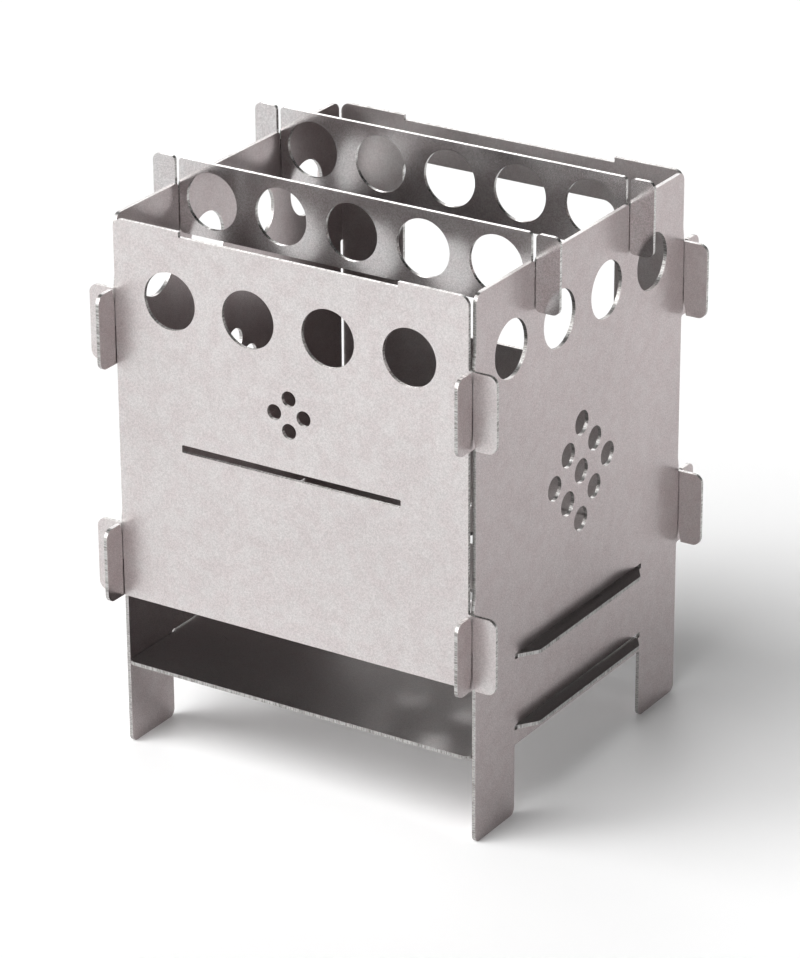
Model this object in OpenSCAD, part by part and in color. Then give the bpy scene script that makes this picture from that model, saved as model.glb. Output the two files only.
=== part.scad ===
// Flat-packed pocket stove: eight laser-cut titanium sheets that lock together without fasteners.
// +X points to the right panel, +Y to the back panel and +Z up. The origin is on the floor, at the centre.

/* [Overall] */
// Width over the outer faces of the two side panels
box_w = 86.4; // [78:0.2:100]
// Depth over the outer faces of the front and back panels
box_d = 85.6; // [78:0.2:100]
// Height of the side panels, from the floor to their top edge
side_h = 120; // [105:0.5:140]
// Thickness of the sheet that every piece is cut from
sheet = 0.8; // [0.5:0.1:1.2]
// Radius of the outer corners at the top of the four panels
top_r = 2; // [0.5:0.1:4]

/* [Clearances] */
// Room on each side of a sheet that stands in a slot
slot_play = 0.15; // [0.05:0.05:0.3]
// Height left under a piece that hangs in its laps
seat_gap = 0.1; // [0.05:0.05:0.3]
// Gap between a side panel's edge and the sheet in front of it or behind it
corner_gap = 0.6; // [0.3:0.05:1]

/* [Ears] */
// How far an ear stands out past the sheet that it locks
ear_reach = 5.5; // [4:0.1:9]
// Height of an ear
ear_h = 16.5; // [12:0.5:20]
// Distance from the top of the side panels down to the lower edge of the upper ears
ear_drop = 32.2; // [28:0.2:36]
// Radius of an ear's two outer corners
ear_r = 2; // [0.5:0.1:3.5]
// How far the mouth of a lap slot opens outwards
mouth_flare = 0.6; // [0.2:0.1:1.2]
// Height over which the mouth of a lap slot opens
mouth_h = 3; // [1:0.5:5]
// Radius of the fillet where an ear leaves its panel
root_r = 0.5; // [0.2:0.1:0.8]

/* [Front and back panels] */
// Height of their lower edge above the floor
panel_low = 35.4; // [34:0.2:42]
// How far their top edge lies below the top of the side panels
panel_drop = 0.3; // [0:0.1:1]
// Width of the shallow recess in the top edge
recess_w = 52.2; // [30:0.2:60]
// Depth of that recess
recess_h = 1.1; // [0.5:0.1:3]
// Width of the thin slot across the front panel
strip_w = 53; // [30:0.5:60]
// Height of the thin slot
strip_h = 1.7; // [0.8:0.1:3]
// Where the thin slot and the window start, between the panels' lower edge and the air holes
strip_share = 0.525; // [0.45:0.005:0.55]
// Radius of the thin slot's corners
strip_r = 0.3; // [0.1:0.05:0.35]
// Width of the feed window in the back panel
window_w = 53; // [30:0.5:60]
// Height of the sheet left above the window
window_lintel = 9.9; // [6:0.1:14]
// Radius of the window's upper corners
window_r = 3; // [1:0.5:6]
// Radius of the window's lower corners
window_low_r = 1; // [0.5:0.5:4]

/* [Air holes] */
// Diameter of the air holes in panels and trivets
air_d = 12.5; // [8:0.5:13.5]
// Distance from the row of air holes up to the top of the side panels
air_drop = 15.75; // [12.5:0.25:18]
// Distance from the last air hole in a row to the outer face of the panel round the corner
air_margin = 14.55; // [12:0.05:15]

/* [Small vents] */
// Diameter of the vents grouped in a diamond on each side panel
vent_d = 5.4; // [3:0.1:6.5]
// Spacing of those vents
vent_pitch = 7.6; // [7:0.1:10]
// Height of the diamond's centre, between the grate and the air holes
vent_share = 0.467; // [0.42:0.001:0.5]
// Number of vents along one edge of the diamond
vent_count = 3; // [2:1:3]
// Diameter of the vents grouped in a diamond on the front panel
dot_d = 3.4; // [2:0.1:4.5]
// Spacing of those vents
dot_pitch = 5; // [4.8:0.1:8]
// Number of vents along one edge of the small diamond
dot_count = 2; // [1:1:2]

/* [Legs] */
// Width of the arch between the two legs of a side panel
arch_w = 52; // [30:1:60]
// Height of the arch
arch_h = 15.8; // [10:0.2:17]
// Radius of the arch's corners
arch_r = 0.5; // [0.2:0.1:4]
// Radius of the feet's corners
foot_r = 1.6; // [0.5:0.1:4]

/* [Grate and ash pan] */
// Height of the grate's underside above the floor
grate_z = 35.35; // [33:0.05:36.5]
// Height of the ash pan's underside above the floor
ash_z = 19.1; // [18.5:0.1:25]
// Length of the slots in the side panels that carry both plates
rail_w = 52; // [40:1:60]
// Height of those slots above the plate that lies in them
rail_play = 0.3; // [0.1:0.05:0.6]
// Radius of the round relief at each end of those slots
relief_r = 0.65; // [0.6:0.05:1]
// Length of a plate's tab at the side panel
tab_root_w = 49.8; // [44:0.2:51.5]
// Length of a plate's tab at its tip
tab_tip_w = 41.5; // [20:0.5:43]
// How far a tab stands out past the side panel
tab_reach = 2.9; // [1.5:0.1:6]
// Radius of a tab's tip corners
tab_r = 1.5; // [0.5:0.1:2]
// Gap between the grate and the panels in front of it and behind it
grate_gap = 0.5; // [0.2:0.1:1.5]
// Diameter of the holes in the grate
grate_hole_d = 6.5; // [3:0.1:8]
// Distance from the grate's outermost holes to the outer faces of the panels
grate_margin = 10.5; // [8:0.1:14]
// Number of holes along each edge of the grate
grate_count = 6; // [2:2:6]
// How far the ash pan's front edge lies behind the face of the front panel
ash_inset = 0.35; // [0:0.05:1]
// Distance from the middle of the stove to the ash pan's rear edge
ash_back = 23.6; // [22:0.1:24.5]
// Width of the shallow recess in the ash pan's rear edge
ash_notch_w = 52.2; // [20:0.2:60]
// Depth of that recess
ash_notch_h = 2.6; // [1:0.1:4]
// Radius of the plates' corners
plate_r = 1.5; // [0.5:0.1:3]

/* [Trivets] */
// Height of a trivet
trivet_h = 16.4; // [15:0.1:20]
// How far a trivet stands above the side panels
trivet_rise = 5.5; // [4:0.1:6.5]
// How far a trivet's end stands out past the side panel
trivet_reach = 5.6; // [4:0.1:9]
// Depth of the slots in a trivet's upper and lower edge
trivet_slot_h = 7.2; // [6:0.1:7.2]
// Distance from a trivet's last hole to the outer face of the side panel
trivet_margin = 9; // [8.6:0.1:9.4]
// Number of holes in a trivet
trivet_count = 5; // [3:2:5]
// Radius of a trivet's outer corners
trivet_r = 1.6; // [0.5:0.1:2.4]
// Radius of the rounded mouths of the trivet slots
trivet_mouth_r = 0.9; // [0.3:0.1:1.2]

/* [Hidden] */
$fn = 64;

// Every cut runs past the face or edge that it opens by this much
overrun = sheet;

// Faces of the four standing sheets, measured from the middle of the stove
side_out = box_w / 2;
side_in = side_out - sheet;
front_out = box_d / 2;
front_in = front_out - sheet;

// Free edges of the panels
side_edge = front_in - corner_gap;
front_edge = side_in - slot_play;
panel_top = side_h - panel_drop;

// Heights of the lower ears and the upper ears, and where each pair of laps meets
ear_z = [panel_low, side_h - ear_drop];
lap_h = ear_h / 2;

// Heights that the pieces share
air_z = side_h - air_drop;
strip_z = panel_low + strip_share * (air_z - panel_low);
window_top = panel_top - window_lintel;
vent_z = grate_z + vent_share * (air_z - grate_z);

// The front vents lie midway between the thin slot and the air holes
dot_z = (strip_z + strip_h + air_z - air_d / 2) / 2;

// Spacings of the air holes, for the number of holes in a row
air_count = 4;
front_pitch = spread(air_count, side_out - air_margin);
side_pitch = spread(air_count, front_out - air_margin);

// Each trivet stands midway between the last two air holes
trivet_y = side_pitch;
trivet_z = side_h + trivet_rise - trivet_h;

// Unit vector from point a to point b
function toward(a, b) = (b - a) / norm(b - a);

// Spacing of count things in a row about zero, whose last one is at end
function spread(count, end) = 2 * end / (count - 1);

// Places of count things in a row about zero
function row(count, pitch) = [for (i = [0 : count - 1]) (i - (count - 1) / 2) * pitch];

// What a round corner of radius r takes off at point p, between the edges to points a and b.
// The same shape, added instead of cut, is the fillet of an inner corner.
module corner(a, p, b, r, out) {
    u = toward(p, a);
    v = toward(p, b);
    half = acos(u * v) / 2;
    middle = toward([0, 0], u + v);
    centre = p + middle * r / sin(half);
    difference() {
        polygon([p - middle * out, p + u * r / tan(half), centre, p + v * r / tan(half)]);
        translate(centre) circle(r);
    }
}

// Upright rectangle from corner a to corner b
module block(a, b) {
    translate(a) square(b - a);
}

// Upright rectangle with two radii, one for its lower corners and one for its upper ones
module round_block(a, b, low_r, high_r) {
    difference() {
        block(a, b);
        corner([a.x, b.y], a, [b.x, a.y], low_r, overrun);
        corner(b, [b.x, a.y], a, low_r, overrun);
        corner(a, [a.x, b.y], b, high_r, overrun);
        corner([b.x, a.y], b, [a.x, b.y], high_r, overrun);
    }
}

// Draws its child, and the same child again across the upright middle line
module both_ways() {
    children();
    mirror([1, 0]) children();
}

// Row of round holes
module hole_row(count, pitch, d, z) {
    for (x = row(count, pitch)) {
        translate([x, z]) circle(d = d);
    }
}

// Square group of round holes, stood on its corner
module diamond(count, pitch, d) {
    for (x = row(count, pitch), y = row(count, pitch)) {
        rotate(45) translate([x, y]) circle(d = d);
    }
}

// Ear of a panel whose free edge is at edge, reaching to tip, with its lower edge at z
module ear(edge, tip, z) {
    difference() {
        block([edge - overrun, z], [tip, z + ear_h]);
        corner([edge, z], [tip, z], [tip, z + ear_h], ear_r, overrun);
        corner([tip, z], [tip, z + ear_h], [edge, z + ear_h], ear_r, overrun);
    }
}

// Fillet above or below an ear, with way 1 for above and -1 for below
module ear_fillet(edge, z, way) {
    difference() {
        translate([edge, z]) square(2 * root_r, center = true);
        translate([edge + root_r, z + way * root_r]) circle(root_r);
    }
}

// Half-lap slot for a sheet with its faces at near and far, from height z to height end.
// Its outer wall opens towards height end.
module lap_slot(near, far, z, end) {
    way = sign(end - z);
    wall = far + slot_play;
    polygon([
        [near - slot_play, z],
        [wall, z],
        [wall, end - way * mouth_h],
        [wall + mouth_flare, end],
        [wall + mouth_flare, end + way * overrun],
        [near - slot_play, end + way * overrun]
    ]);
}

// Side panel, with ears whose lap slots are open at the top.
// Above each ear the edge widens down to the slot's inner wall.
module side_profile() {
    shoulder = front_in - slot_play;
    difference() {
        union() {
            difference() {
                round_block([-side_edge, 0], [side_edge, side_h], foot_r, top_r);
                block([-arch_w / 2, -overrun], [arch_w / 2, arch_h]);
                both_ways() corner([side_edge, 0], [arch_w / 2, 0], [arch_w / 2, arch_h], foot_r, overrun);
            }
            both_ways() {
                corner([0, arch_h], [arch_w / 2, arch_h], [arch_w / 2, 0], arch_r, arch_r / 2);
                for (z = ear_z) {
                    ear(side_edge, front_out + ear_reach, z);
                    ear_fillet(side_edge, z, -1);
                    polygon([
                        [side_edge - overrun, z + lap_h],
                        [shoulder, z + lap_h],
                        [shoulder, z + ear_h + root_r],
                        [side_edge, z + ear_h + root_r + mouth_h],
                        [side_edge - overrun, z + ear_h + root_r + mouth_h]
                    ]);
                }
            }
        }
        both_ways() {
            for (z = ear_z) {
                lap_slot(front_in, front_out, z + lap_h - seat_gap / 2, z + ear_h);
            }
            trivet_notch();
        }
        hole_row(air_count, side_pitch, air_d, air_z);
        translate([0, vent_z]) diamond(vent_count, vent_pitch, vent_d);
        rail_slot(grate_z);
        rail_slot(ash_z);
    }
}

// Notch in a side panel's top edge that a trivet drops into
module trivet_notch() {
    half = sheet / 2 + slot_play;
    low = trivet_z + trivet_slot_h - seat_gap;
    block([trivet_y - half, low], [trivet_y + half, side_h + overrun]);
    for (way = [-1, 1]) {
        edge = trivet_y + way * half;
        corner([edge, low], [edge, side_h], [edge + way * side_h, side_h], trivet_mouth_r, overrun);
    }
}

// Slot in a side panel that a plate's tab passes through, with a round relief at each end
module rail_slot(z) {
    high = sheet + rail_play;
    block([-rail_w / 2, z], [rail_w / 2, z + high]);
    both_ways() translate([rail_w / 2 - relief_r, z + high / 2]) circle(relief_r);
}

// Panel that stands across the stove, with ears whose lap slots are open at the bottom
module cross_profile() {
    difference() {
        union() {
            difference() {
                block([-front_edge, panel_low], [front_edge, panel_top]);
                both_ways() corner([front_edge, panel_low], [front_edge, panel_top], [0, panel_top], top_r, overrun);
            }
            both_ways() {
                for (z = ear_z) {
                    ear(front_edge, side_out + ear_reach, z);
                    ear_fillet(front_edge, z + ear_h, 1);
                }
            }
        }
        both_ways() {
            for (z = ear_z) {
                lap_slot(side_in, side_out, z + lap_h + seat_gap / 2, z);
            }
        }
        block([-recess_w / 2, panel_top - recess_h], [recess_w / 2, panel_top + overrun]);
    }
}

// Plate that lies between the side panels from y = low to y = high, with a tab through each of them
module plate_profile(low, high) {
    root = side_out;
    tip = side_out + tab_reach;
    inner = front_edge - plate_r;
    intersection() {
        union() {
            round_block([-front_edge, low], [front_edge, high], plate_r, plate_r);
            both_ways() {
                difference() {
                    polygon([
                        [inner, -tab_root_w / 2],
                        [root, -tab_root_w / 2],
                        [tip, -tab_tip_w / 2],
                        [tip, tab_tip_w / 2],
                        [root, tab_root_w / 2],
                        [inner, tab_root_w / 2]
                    ]);
                    for (way = [-1, 1]) {
                        corner([root, way * tab_root_w / 2], [tip, way * tab_tip_w / 2], [tip, 0], tab_r, overrun);
                    }
                }
            }
        }
        block([-tip - overrun, low - overrun], [tip + overrun, high]);
    }
}

// Trivet with slots in both edges, so that it fits either way up
module trivet_profile() {
    tip = side_out + trivet_reach;
    high = trivet_z + trivet_h;
    middle = trivet_z + trivet_h / 2;
    near = side_in - slot_play;
    far = side_out + slot_play;
    difference() {
        round_block([-tip, trivet_z], [tip, high], trivet_r, trivet_r);
        both_ways() {
            block([near, trivet_z - overrun], [far, trivet_z + trivet_slot_h]);
            block([near, high - trivet_slot_h], [far, high + overrun]);
            for (edge = [trivet_z, high]) {
                corner([near, middle], [near, edge], [0, edge], trivet_mouth_r, overrun);
                corner([far, middle], [far, edge], [tip, edge], trivet_mouth_r, overrun);
            }
        }
        hole_row(trivet_count, spread(trivet_count, side_out - trivet_margin), air_d, middle);
    }
}

// Stands a flat drawing up across the stove, with its rear face at y
module across(y) {
    translate([0, y, 0]) rotate([90, 0, 0]) linear_extrude(sheet) children();
}

// Stands a flat drawing up along the stove, with its left face at x
module along(x) {
    translate([x, 0, 0]) rotate([90, 0, 90]) linear_extrude(sheet) children();
}

module left_panel() {
    color([0.68, 0.66, 0.65]) along(-side_out) side_profile();
}

module right_panel() {
    color([0.68, 0.66, 0.65]) along(side_in) side_profile();
}

// Front panel, with its air holes, small vents and thin slot
module front_panel() {
    color([0.80, 0.78, 0.77]) across(-front_in) difference() {
        cross_profile();
        hole_row(air_count, front_pitch, air_d, air_z);
        translate([0, dot_z]) diamond(dot_count, dot_pitch, dot_d);
        round_block([-strip_w / 2, strip_z], [strip_w / 2, strip_z + strip_h], strip_r, strip_r);
    }
}

// Back panel, with the window through which the fire is fed
module back_panel() {
    color([0.62, 0.61, 0.60]) across(front_out) difference() {
        cross_profile();
        round_block([-window_w / 2, strip_z], [window_w / 2, window_top], window_low_r, window_r);
    }
}

// Perforated plate that the fire burns on
module fire_grate() {
    reach = front_in - grate_gap;
    color([0.60, 0.59, 0.58]) translate([0, 0, grate_z]) linear_extrude(sheet) difference() {
        plate_profile(-reach, reach);
        for (y = row(grate_count, spread(grate_count, front_out - grate_margin))) {
            hole_row(grate_count, spread(grate_count, side_out - grate_margin), grate_hole_d, y);
        }
    }
}

// Plain plate that catches the ash and covers the front of the floor
module ash_pan() {
    color([0.62, 0.61, 0.60]) translate([0, 0, ash_z]) linear_extrude(sheet) difference() {
        plate_profile(ash_inset - front_out, ash_back);
        block([-ash_notch_w / 2, ash_back - ash_notch_h], [ash_notch_w / 2, ash_back + overrun]);
    }
}

module front_trivet() {
    color([0.66, 0.66, 0.67]) across(sheet / 2 - trivet_y) trivet_profile();
}

module rear_trivet() {
    color([0.66, 0.66, 0.67]) across(sheet / 2 + trivet_y) trivet_profile();
}

left_panel();
right_panel();
front_panel();
back_panel();
fire_grate();
ash_pan();
front_trivet();
rear_trivet();
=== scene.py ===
import math

import bpy
from mathutils import Matrix, Vector

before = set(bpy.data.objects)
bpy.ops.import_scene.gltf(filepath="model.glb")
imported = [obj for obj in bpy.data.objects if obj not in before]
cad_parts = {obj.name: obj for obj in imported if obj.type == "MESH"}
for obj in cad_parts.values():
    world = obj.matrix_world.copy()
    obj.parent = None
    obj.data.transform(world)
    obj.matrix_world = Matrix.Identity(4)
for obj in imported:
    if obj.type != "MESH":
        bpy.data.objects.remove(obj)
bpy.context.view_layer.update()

MM = 0.001
scene = bpy.context.scene

# Camera, in degrees and metres: a long lens that looks down on the front right corner
AZIMUTH, ELEVATION, ROLL = 32.47, 23.75, -0.29
DISTANCE, ASIDE, LIFT = 0.91057, -0.00071, -0.00391
AIM = Vector((0, 0, 0.060))
LENS, SENSOR = 162.45, 36
CLIP_START, CLIP_END = 0.05, 20

# Half the floor's width, its colour, and its colour where the camera or a reflection shows it
FLOOR_REACH = 6.0
FLOOR, FLOOR_SEEN = (0.80, 0.80, 0.80), (1.0, 1.0, 1.0)
# Sines of the heights between which the studio darkens, and its strength overhead
SKY_RISE, SKY_TOP = (0.09, 0.26), 0.06
# Azimuth and elevation of each soft box, the angles from its middle to which it is full and reaches, and its strength
SOFT_BOXES = ((-35, 6, 15, 32, 3.4), (-150, 18, 18, 38, 1.2))
# Name, azimuth, elevation, energy and angular width of each lamp
LAMPS = (("high", -14, 58, 1.75, 42), ("left", -58, 25, 2.0, 42), ("rim", -148, 26, 0.27, 20))

# Face colours of one titanium in lit and shaded copies: the side panels' colour is painted darker than the front's as
# painted shade on the side faces, and the grate's and ash pan's darker still as painted shade inside the stove
FRONT = (0.590, 0.544, 0.542)
SIDE_PANEL_SHADED = (0.492, 0.429, 0.431)
PLATE_SHADED = (0.44, 0.414, 0.412)
TRIVET = (0.585, 0.551, 0.552)
# What the face colour is multiplied by where it is warmer or polished
WARMER, POLISHED = (0.985, 1.02, 1.015), (1.18, 1.18, 1.17)
# What the mean of the face colour is multiplied by on the cut edges
EDGE_BRIGHT, EDGE_DULL, EDGE_BURNT = (1.16, 1.15, 1.13), (0.52, 0.50, 0.48), (0.40, 0.37, 0.35)

# Size and detail of each texture: of faces, of scratches and their groups, of wear along rims, and of cut edges
FINE, SPECK, PATCH, CLOUD = (0.24 * MM, 1), (0.55 * MM, 2), (3 * MM, 3), (28 * MM, 2)
SCRATCH, GROUP = (1 * MM, 1), (9 * MM, 1)
WEAR = (1.6 * MM, 3)
STRIA, BURN = (0.20 * MM, 2), (1.1 * MM, 3)

# Values of the textures between which tones change
FINE_SPAN, TONE_SPAN = (0.28, 0.72), (0.30, 0.70)
# Strength of specks as a share of the grain's, and strength of the broadest tones
SPECK_SHARE, CLOUD_TONE = 1 / 3, 0.025
# What patches and grain multiply the roughness by
PATCH_ROUGH, FINE_ROUGH = (0.97, 1.03), (0.96, 1.05)
# What scratches, cut edges and rims add to the roughness
SCRATCH_ROUGH, CUT_ROUGH, RIM_ROUGH = -0.08, 0.08, -0.07
# Heights of specks and scratches against the grain's, and of the marks on cut edges
SPECK_HEIGHT, SCRATCH_HEIGHT, STRIA_HEIGHT, BURN_HEIGHT = 0.8, -0.5, 8.0, 4.0
BUMP_HEIGHT, BUMP_STRENGTH = 0.004 * MM, 0.18

# Share of the polished colour on scratches and on rims
SCRATCH_GLEAM, RIM_GLEAM = 0.25, 0.55
# Direction of each set of scratches in radians, and its offset in millimetres
SCRATCHES = ((0.5, 0.0), (1.3, 3.1), (-0.6, 6.3))
# How much the texture is stretched across and along a scratch, and where scratches and their groups begin and are full
SCRATCH_WIDTH, SCRATCH_LENGTH = 0.10, 7.0
SCRATCH_GATE, GROUP_GATE = (0.70, 0.78), (0.52, 0.62)

# Width of a polished rim and the samples taken across it, the turn at which it starts and is full, and its wear
RIM_WIDTH, RIM_SAMPLES = 0.30 * MM, 6
RIM_TURN = (0.995, 0.90)
WEAR_SPAN, LEAST_WEAR = (0.35, 0.65), 0.25

# Share of the normal across the sheet at which a face ends and a cut edge is full
CUT_TURN = (0.80, 0.60)
# Stretch of the marks on cut edges through the sheet, where striations are dull and bright, and where burns show
STRIA_RUN = 9
STRIA_SPAN, BURN_GATE, MOST_BURN = (0.34, 0.62), (0.58, 0.70), 0.55

# Width of the rounding of the cut edges, its steps, and the angle from which an edge is rounded
ROUNDING, ROUNDING_STEPS, ROUNDING_ANGLE = 0.07 * MM, 2, 50

# Node, face colour (painted darker as shade on the side panels, grate and ash pan), roughness, axis across the sheet,
# place in the textures, and strengths of grain and mottling
PIECES = (("right_panel", SIDE_PANEL_SHADED, 0.30, 0, (0.013, 0.041, 0.007), 0.150, 0.035),
          ("left_panel", SIDE_PANEL_SHADED, 0.30, 0, (0.052, 0.017, 0.031), 0.150, 0.035),
          ("front_panel", FRONT, 0.36, 1, (0.003, 0.029, 0.061), 0.105, 0.030),
          ("back_panel", FRONT, 0.36, 1, (0.077, 0.005, 0.019), 0.105, 0.030),
          ("fire_grate", PLATE_SHADED, 0.31, 2, (0.021, 0.063, 0.011), 0.120, 0.012),
          ("ash_pan", PLATE_SHADED, 0.31, 2, (0.037, 0.011, 0.049), 0.120, 0.012),
          ("front_trivet", TRIVET, 0.19, 1, (0.009, 0.083, 0.023), 0.150, 0.025),
          ("rear_trivet", TRIVET, 0.19, 1, (0.067, 0.035, 0.002), 0.150, 0.025))


def direction(azimuth, elevation):
    """Unit vector from the stove towards a place round it."""
    a, e = math.radians(azimuth), math.radians(elevation)
    return Vector((math.sin(a) * math.cos(e), -math.cos(a) * math.cos(e), math.sin(e)))


def add_camera():
    data = bpy.data.cameras.new("camera")
    data.lens, data.sensor_width = LENS, SENSOR
    data.clip_start, data.clip_end = CLIP_START, CLIP_END
    data.dof.use_dof = False
    camera = bpy.data.objects.new("camera", data)
    scene.collection.objects.link(camera)
    back = direction(AZIMUTH, ELEVATION)
    right = Vector((math.cos(math.radians(AZIMUTH)), math.sin(math.radians(AZIMUTH)), 0))
    up = back.cross(right)
    roll = math.radians(ROLL)
    right, up = (math.cos(roll) * right + math.sin(roll) * up,
                 math.cos(roll) * up - math.sin(roll) * right)
    axes = Matrix((right, up, back)).transposed().to_4x4()
    place = AIM + DISTANCE * back + ASIDE * right + LIFT * up
    camera.matrix_world = Matrix.Translation(place) @ axes
    scene.camera = camera


class Nodes:
    """Short calls that add nodes to one material or world and join them."""

    def __init__(self, tree):
        self.tree = tree
        tree.nodes.clear()

    def add(self, kind, inputs=None, **settings):
        n = self.tree.nodes.new(kind)
        for key, value in settings.items():
            setattr(n, key, value)
        for key, value in (inputs or {}).items():
            if isinstance(value, bpy.types.NodeSocket):
                self.tree.links.new(value, n.inputs[key])
            else:
                n.inputs[key].default_value = value
        return n

    def math(self, operation, a, b=0.0):
        return self.add("ShaderNodeMath", {0: a, 1: b}, operation=operation).outputs[0]

    def dot(self, a, b):
        n = self.add("ShaderNodeVectorMath", {0: a, 1: b}, operation="DOT_PRODUCT")
        return n.outputs["Value"]

    def span(self, value, low, high, to_low=0.0, to_high=1.0):
        """Maps low..high to to_low..to_high, smoothly and within those limits."""
        return self.add("ShaderNodeMapRange", {"Value": value, "From Min": low, "From Max": high,
                                               "To Min": to_low, "To Max": to_high},
                        interpolation_type="SMOOTHSTEP").outputs[0]

    def noise(self, where, size, detail, stretch=(1, 1, 1)):
        """Noise whose blobs are about size metres across; stretch makes them longer along an axis."""
        scale = [1 / (size * s) for s in stretch]
        at = self.add("ShaderNodeMapping", {"Vector": where, "Scale": scale}).outputs[0]
        return self.add("ShaderNodeTexNoise", {"Vector": at, "Scale": 1.0, "Detail": detail}).outputs[0]

    def mix(self, factor, a, b, blend="MIX"):
        n = self.add("ShaderNodeMix", {0: factor, 6: a, 7: b}, data_type="RGBA", blend_type=blend)
        return n.outputs[2]


def rgb(r, g, b):
    return (r, g, b, 1.0)


def shade(color, factors):
    """A colour with each channel multiplied."""
    return rgb(*(c * f for c, f in zip(color, factors)))


def worn_rim(k, where):
    """1 along the rims that tumbling polishes, unevenly along their length."""
    soft_normal = k.add("ShaderNodeBevel", {"Radius": RIM_WIDTH}, samples=RIM_SAMPLES).outputs[0]
    true_normal = k.add("ShaderNodeNewGeometry").outputs["Normal"]
    turn = k.span(k.dot(soft_normal, true_normal), *RIM_TURN)
    wear = k.span(k.noise(where, *WEAR), *WEAR_SPAN, LEAST_WEAR, 1.0)
    return k.math("MULTIPLY", turn, wear)


def scratches(k, where, axis):
    """1 on short fine scratches in three directions."""
    marks = []
    for turned, offset in SCRATCHES:
        angles = [0, 0, 0]
        angles[axis] = turned
        stretch = [SCRATCH_WIDTH] * 3
        stretch[(axis + 1) % 3] = SCRATCH_LENGTH
        tilted = k.add("ShaderNodeMapping", {"Vector": where, "Rotation": angles,
                                             "Location": (offset * MM, 0, offset * MM)}).outputs[0]
        line = k.span(k.noise(tilted, *SCRATCH, stretch), *SCRATCH_GATE)
        group = k.span(k.noise(tilted, *GROUP), *GROUP_GATE)
        marks.append(k.math("MULTIPLY", line, group))
    return k.math("MAXIMUM", marks[0], k.math("MAXIMUM", marks[1], marks[2]))


def cut_edge(k, where, face, axis):
    """Colour and height of cut edges: striations that run across the sheet, and a few darker burns."""
    through = [1, 1, 1]
    through[axis] = STRIA_RUN
    stria = k.noise(where, *STRIA, through)
    burn = k.noise(where, *BURN, through)
    grey = [sum(face) / 3] * 3
    color = k.mix(k.span(stria, *STRIA_SPAN), shade(grey, EDGE_DULL), shade(grey, EDGE_BRIGHT))
    color = k.mix(k.span(burn, *BURN_GATE, 0.0, MOST_BURN), color, shade(grey, EDGE_BURNT))
    height = k.math("ADD", k.math("MULTIPLY", stria, STRIA_HEIGHT), k.math("MULTIPLY", burn, BURN_HEIGHT))
    return color, height


def titanium(name, face, rough, axis, seed, grain, mottle):
    """Tumbled sheet: satin faces with a fine grain, polished rims and striped laser-cut edges.
    axis is the one across the sheet: 0, 1 or 2; grain and mottle are the strengths of fine and broad tones."""
    mat = bpy.data.materials.new(name)
    mat.use_nodes = True
    k = Nodes(mat.node_tree)
    coords = k.add("ShaderNodeTexCoord")
    where = k.add("ShaderNodeMapping", {"Vector": coords.outputs["Object"], "Location": seed}).outputs[0]
    across = k.add("ShaderNodeSeparateXYZ", {0: coords.outputs["Normal"]}).outputs[axis]
    cut = k.span(k.math("ABSOLUTE", across), *CUT_TURN)
    rim = worn_rim(k, where)
    scratch = scratches(k, where, axis)
    edge_color, edge_height = cut_edge(k, where, face, axis)

    # Tones of the faces, from the finest to the broadest
    fine = k.noise(where, *FINE)
    speck = k.noise(where, *SPECK)
    patch = k.noise(where, *PATCH)
    cloud = k.noise(where, *CLOUD)
    fine_tone = k.span(fine, *FINE_SPAN, 1 - grain, 1 + grain)
    speck_tone = k.span(speck, *TONE_SPAN, -grain * SPECK_SHARE, grain * SPECK_SHARE)
    patch_tone = k.span(patch, *TONE_SPAN, -mottle, mottle)
    cloud_tone = k.span(cloud, *TONE_SPAN, -CLOUD_TONE, CLOUD_TONE)
    tone = k.math("ADD", k.math("ADD", fine_tone, speck_tone), k.math("ADD", patch_tone, cloud_tone))
    tones = k.add("ShaderNodeCombineColor", {0: tone, 1: tone, 2: tone}).outputs[0]
    hue = k.mix(k.span(patch, *TONE_SPAN), rgb(*face), shade(face, WARMER))
    face_color = k.mix(1.0, hue, tones, "MULTIPLY")

    polished = shade(face, POLISHED)
    face_color = k.mix(k.math("MULTIPLY", scratch, SCRATCH_GLEAM), face_color, polished)
    color = k.mix(cut, face_color, edge_color)
    color = k.mix(k.math("MULTIPLY", rim, RIM_GLEAM), color, polished)

    roughness = k.math("MULTIPLY", k.span(patch, *TONE_SPAN, *(rough * r for r in PATCH_ROUGH)),
                       k.span(fine, *TONE_SPAN, *FINE_ROUGH))
    for place, more in ((scratch, SCRATCH_ROUGH), (cut, CUT_ROUGH), (rim, RIM_ROUGH)):
        roughness = k.math("ADD", roughness, k.math("MULTIPLY", place, more))

    face_height = k.math("ADD", fine, k.math("MULTIPLY", speck, SPECK_HEIGHT))
    face_height = k.math("ADD", face_height, k.math("MULTIPLY", scratch, SCRATCH_HEIGHT))
    height = k.add("ShaderNodeMix", {0: cut, 2: face_height, 3: edge_height}, data_type="FLOAT").outputs[0]
    bump = k.add("ShaderNodeBump", {"Strength": BUMP_STRENGTH, "Distance": BUMP_HEIGHT,
                                    "Height": height}).outputs[0]
    shader = k.add("ShaderNodeBsdfPrincipled", {"Base Color": color, "Metallic": 1.0, "Roughness": roughness,
                                                "Normal": bump}).outputs[0]
    k.add("ShaderNodeOutputMaterial", {"Surface": shader})
    return mat


def dress(node, material):
    """Gives a node its material, and rounds its cut edges as tumbling does."""
    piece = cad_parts[node]
    piece.data.materials.clear()
    piece.data.materials.append(material)
    bevel = piece.modifiers.new("tumbled_edges", "BEVEL")
    bevel.width = ROUNDING
    bevel.segments = ROUNDING_STEPS
    bevel.limit_method = "ANGLE"
    bevel.angle_limit = math.radians(ROUNDING_ANGLE)
    bevel.harden_normals = True


def seen(k):
    """1 for a ray that the camera, gloss or glass looks along, and 0 for light that falls on things."""
    path = k.add("ShaderNodeLightPath").outputs
    mirrored = k.math("MAXIMUM", path["Is Glossy Ray"], path["Is Transmission Ray"])
    return k.math("MAXIMUM", path["Is Camera Ray"], mirrored)


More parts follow.
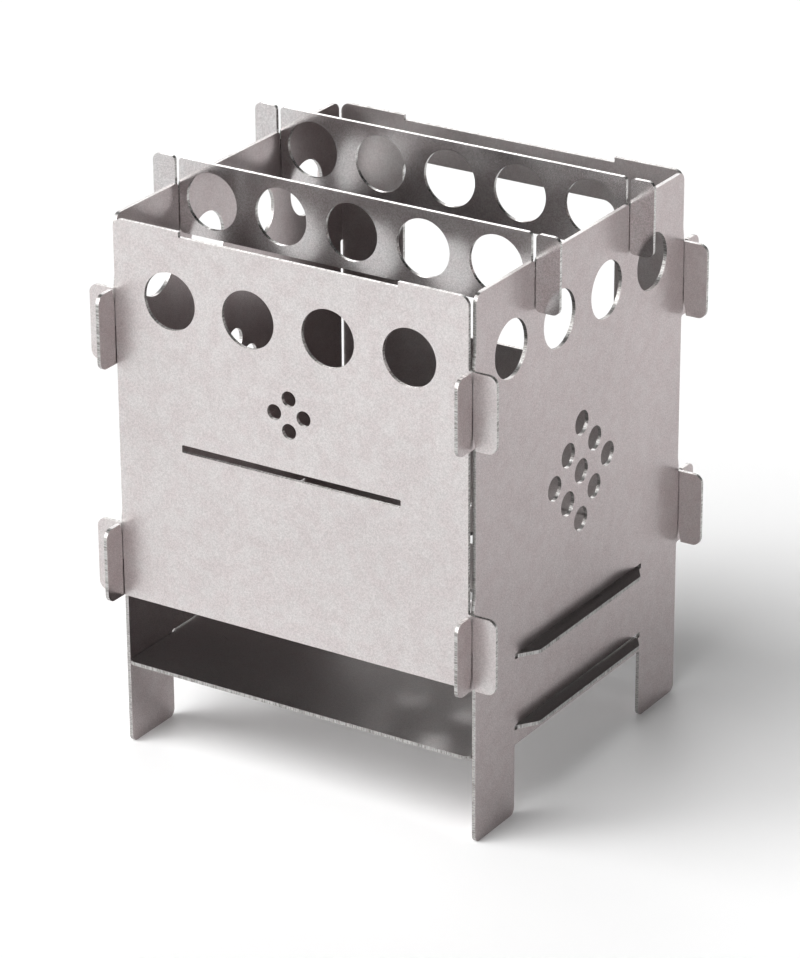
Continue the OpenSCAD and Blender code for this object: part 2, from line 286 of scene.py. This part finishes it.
def add_floor():
    """Plain pale floor that shows the stove's soft shadow."""
    r = FLOOR_REACH
    mesh = bpy.data.meshes.new("floor")
    mesh.from_pydata([(-r, -r, 0), (r, -r, 0), (r, r, 0), (-r, r, 0)], [], [(0, 1, 2, 3)])
    floor = bpy.data.objects.new("floor", mesh)
    scene.collection.objects.link(floor)
    mat = bpy.data.materials.new("floor")
    mat.use_nodes = True
    k = Nodes(mat.node_tree)
    color = k.mix(seen(k), rgb(*FLOOR), rgb(*FLOOR_SEEN))
    surface = k.add("ShaderNodeBsdfDiffuse", {"Color": color}).outputs[0]
    k.add("ShaderNodeOutputMaterial", {"Surface": surface})
    mesh.materials.append(mat)


def add_world():
    """Studio that is white round the horizon and dark overhead, with broad soft boxes."""
    world = bpy.data.worlds.new("studio")
    scene.world = world
    world.use_nodes = True
    k = Nodes(world.node_tree)
    toward = k.add("ShaderNodeTexCoord").outputs["Generated"]
    height = k.add("ShaderNodeSeparateXYZ", {0: toward}).outputs[2]
    strength = k.span(height, *SKY_RISE, 1.0, SKY_TOP)
    for azimuth, elevation, core, reach, level in SOFT_BOXES:
        facing = k.dot(toward, direction(azimuth, elevation))
        box = k.span(facing, math.cos(math.radians(reach)), math.cos(math.radians(core)), 0.0, level)
        strength = k.math("MAXIMUM", strength, box)
    sky = k.add("ShaderNodeBackground", {"Color": rgb(1, 1, 1), "Strength": strength}).outputs[0]
    k.add("ShaderNodeOutputWorld", {"Surface": sky})


def add_sun(name, azimuth, elevation, energy, angle):
    """Lamp far away that looks as wide as angle, so its shadows are soft."""
    data = bpy.data.lights.new(name, "SUN")
    data.energy = energy
    data.angle = math.radians(angle)
    lamp = bpy.data.objects.new(name, data)
    lamp.rotation_mode = "QUATERNION"
    lamp.rotation_quaternion = direction(azimuth, elevation).to_track_quat("Z", "Y")
    scene.collection.objects.link(lamp)


add_camera()
add_world()
for lamp in LAMPS:
    add_sun(*lamp)
add_floor()
for node, *looks in PIECES:
    dress(node, titanium(node, *looks))

scene.view_settings.view_transform = "Standard"
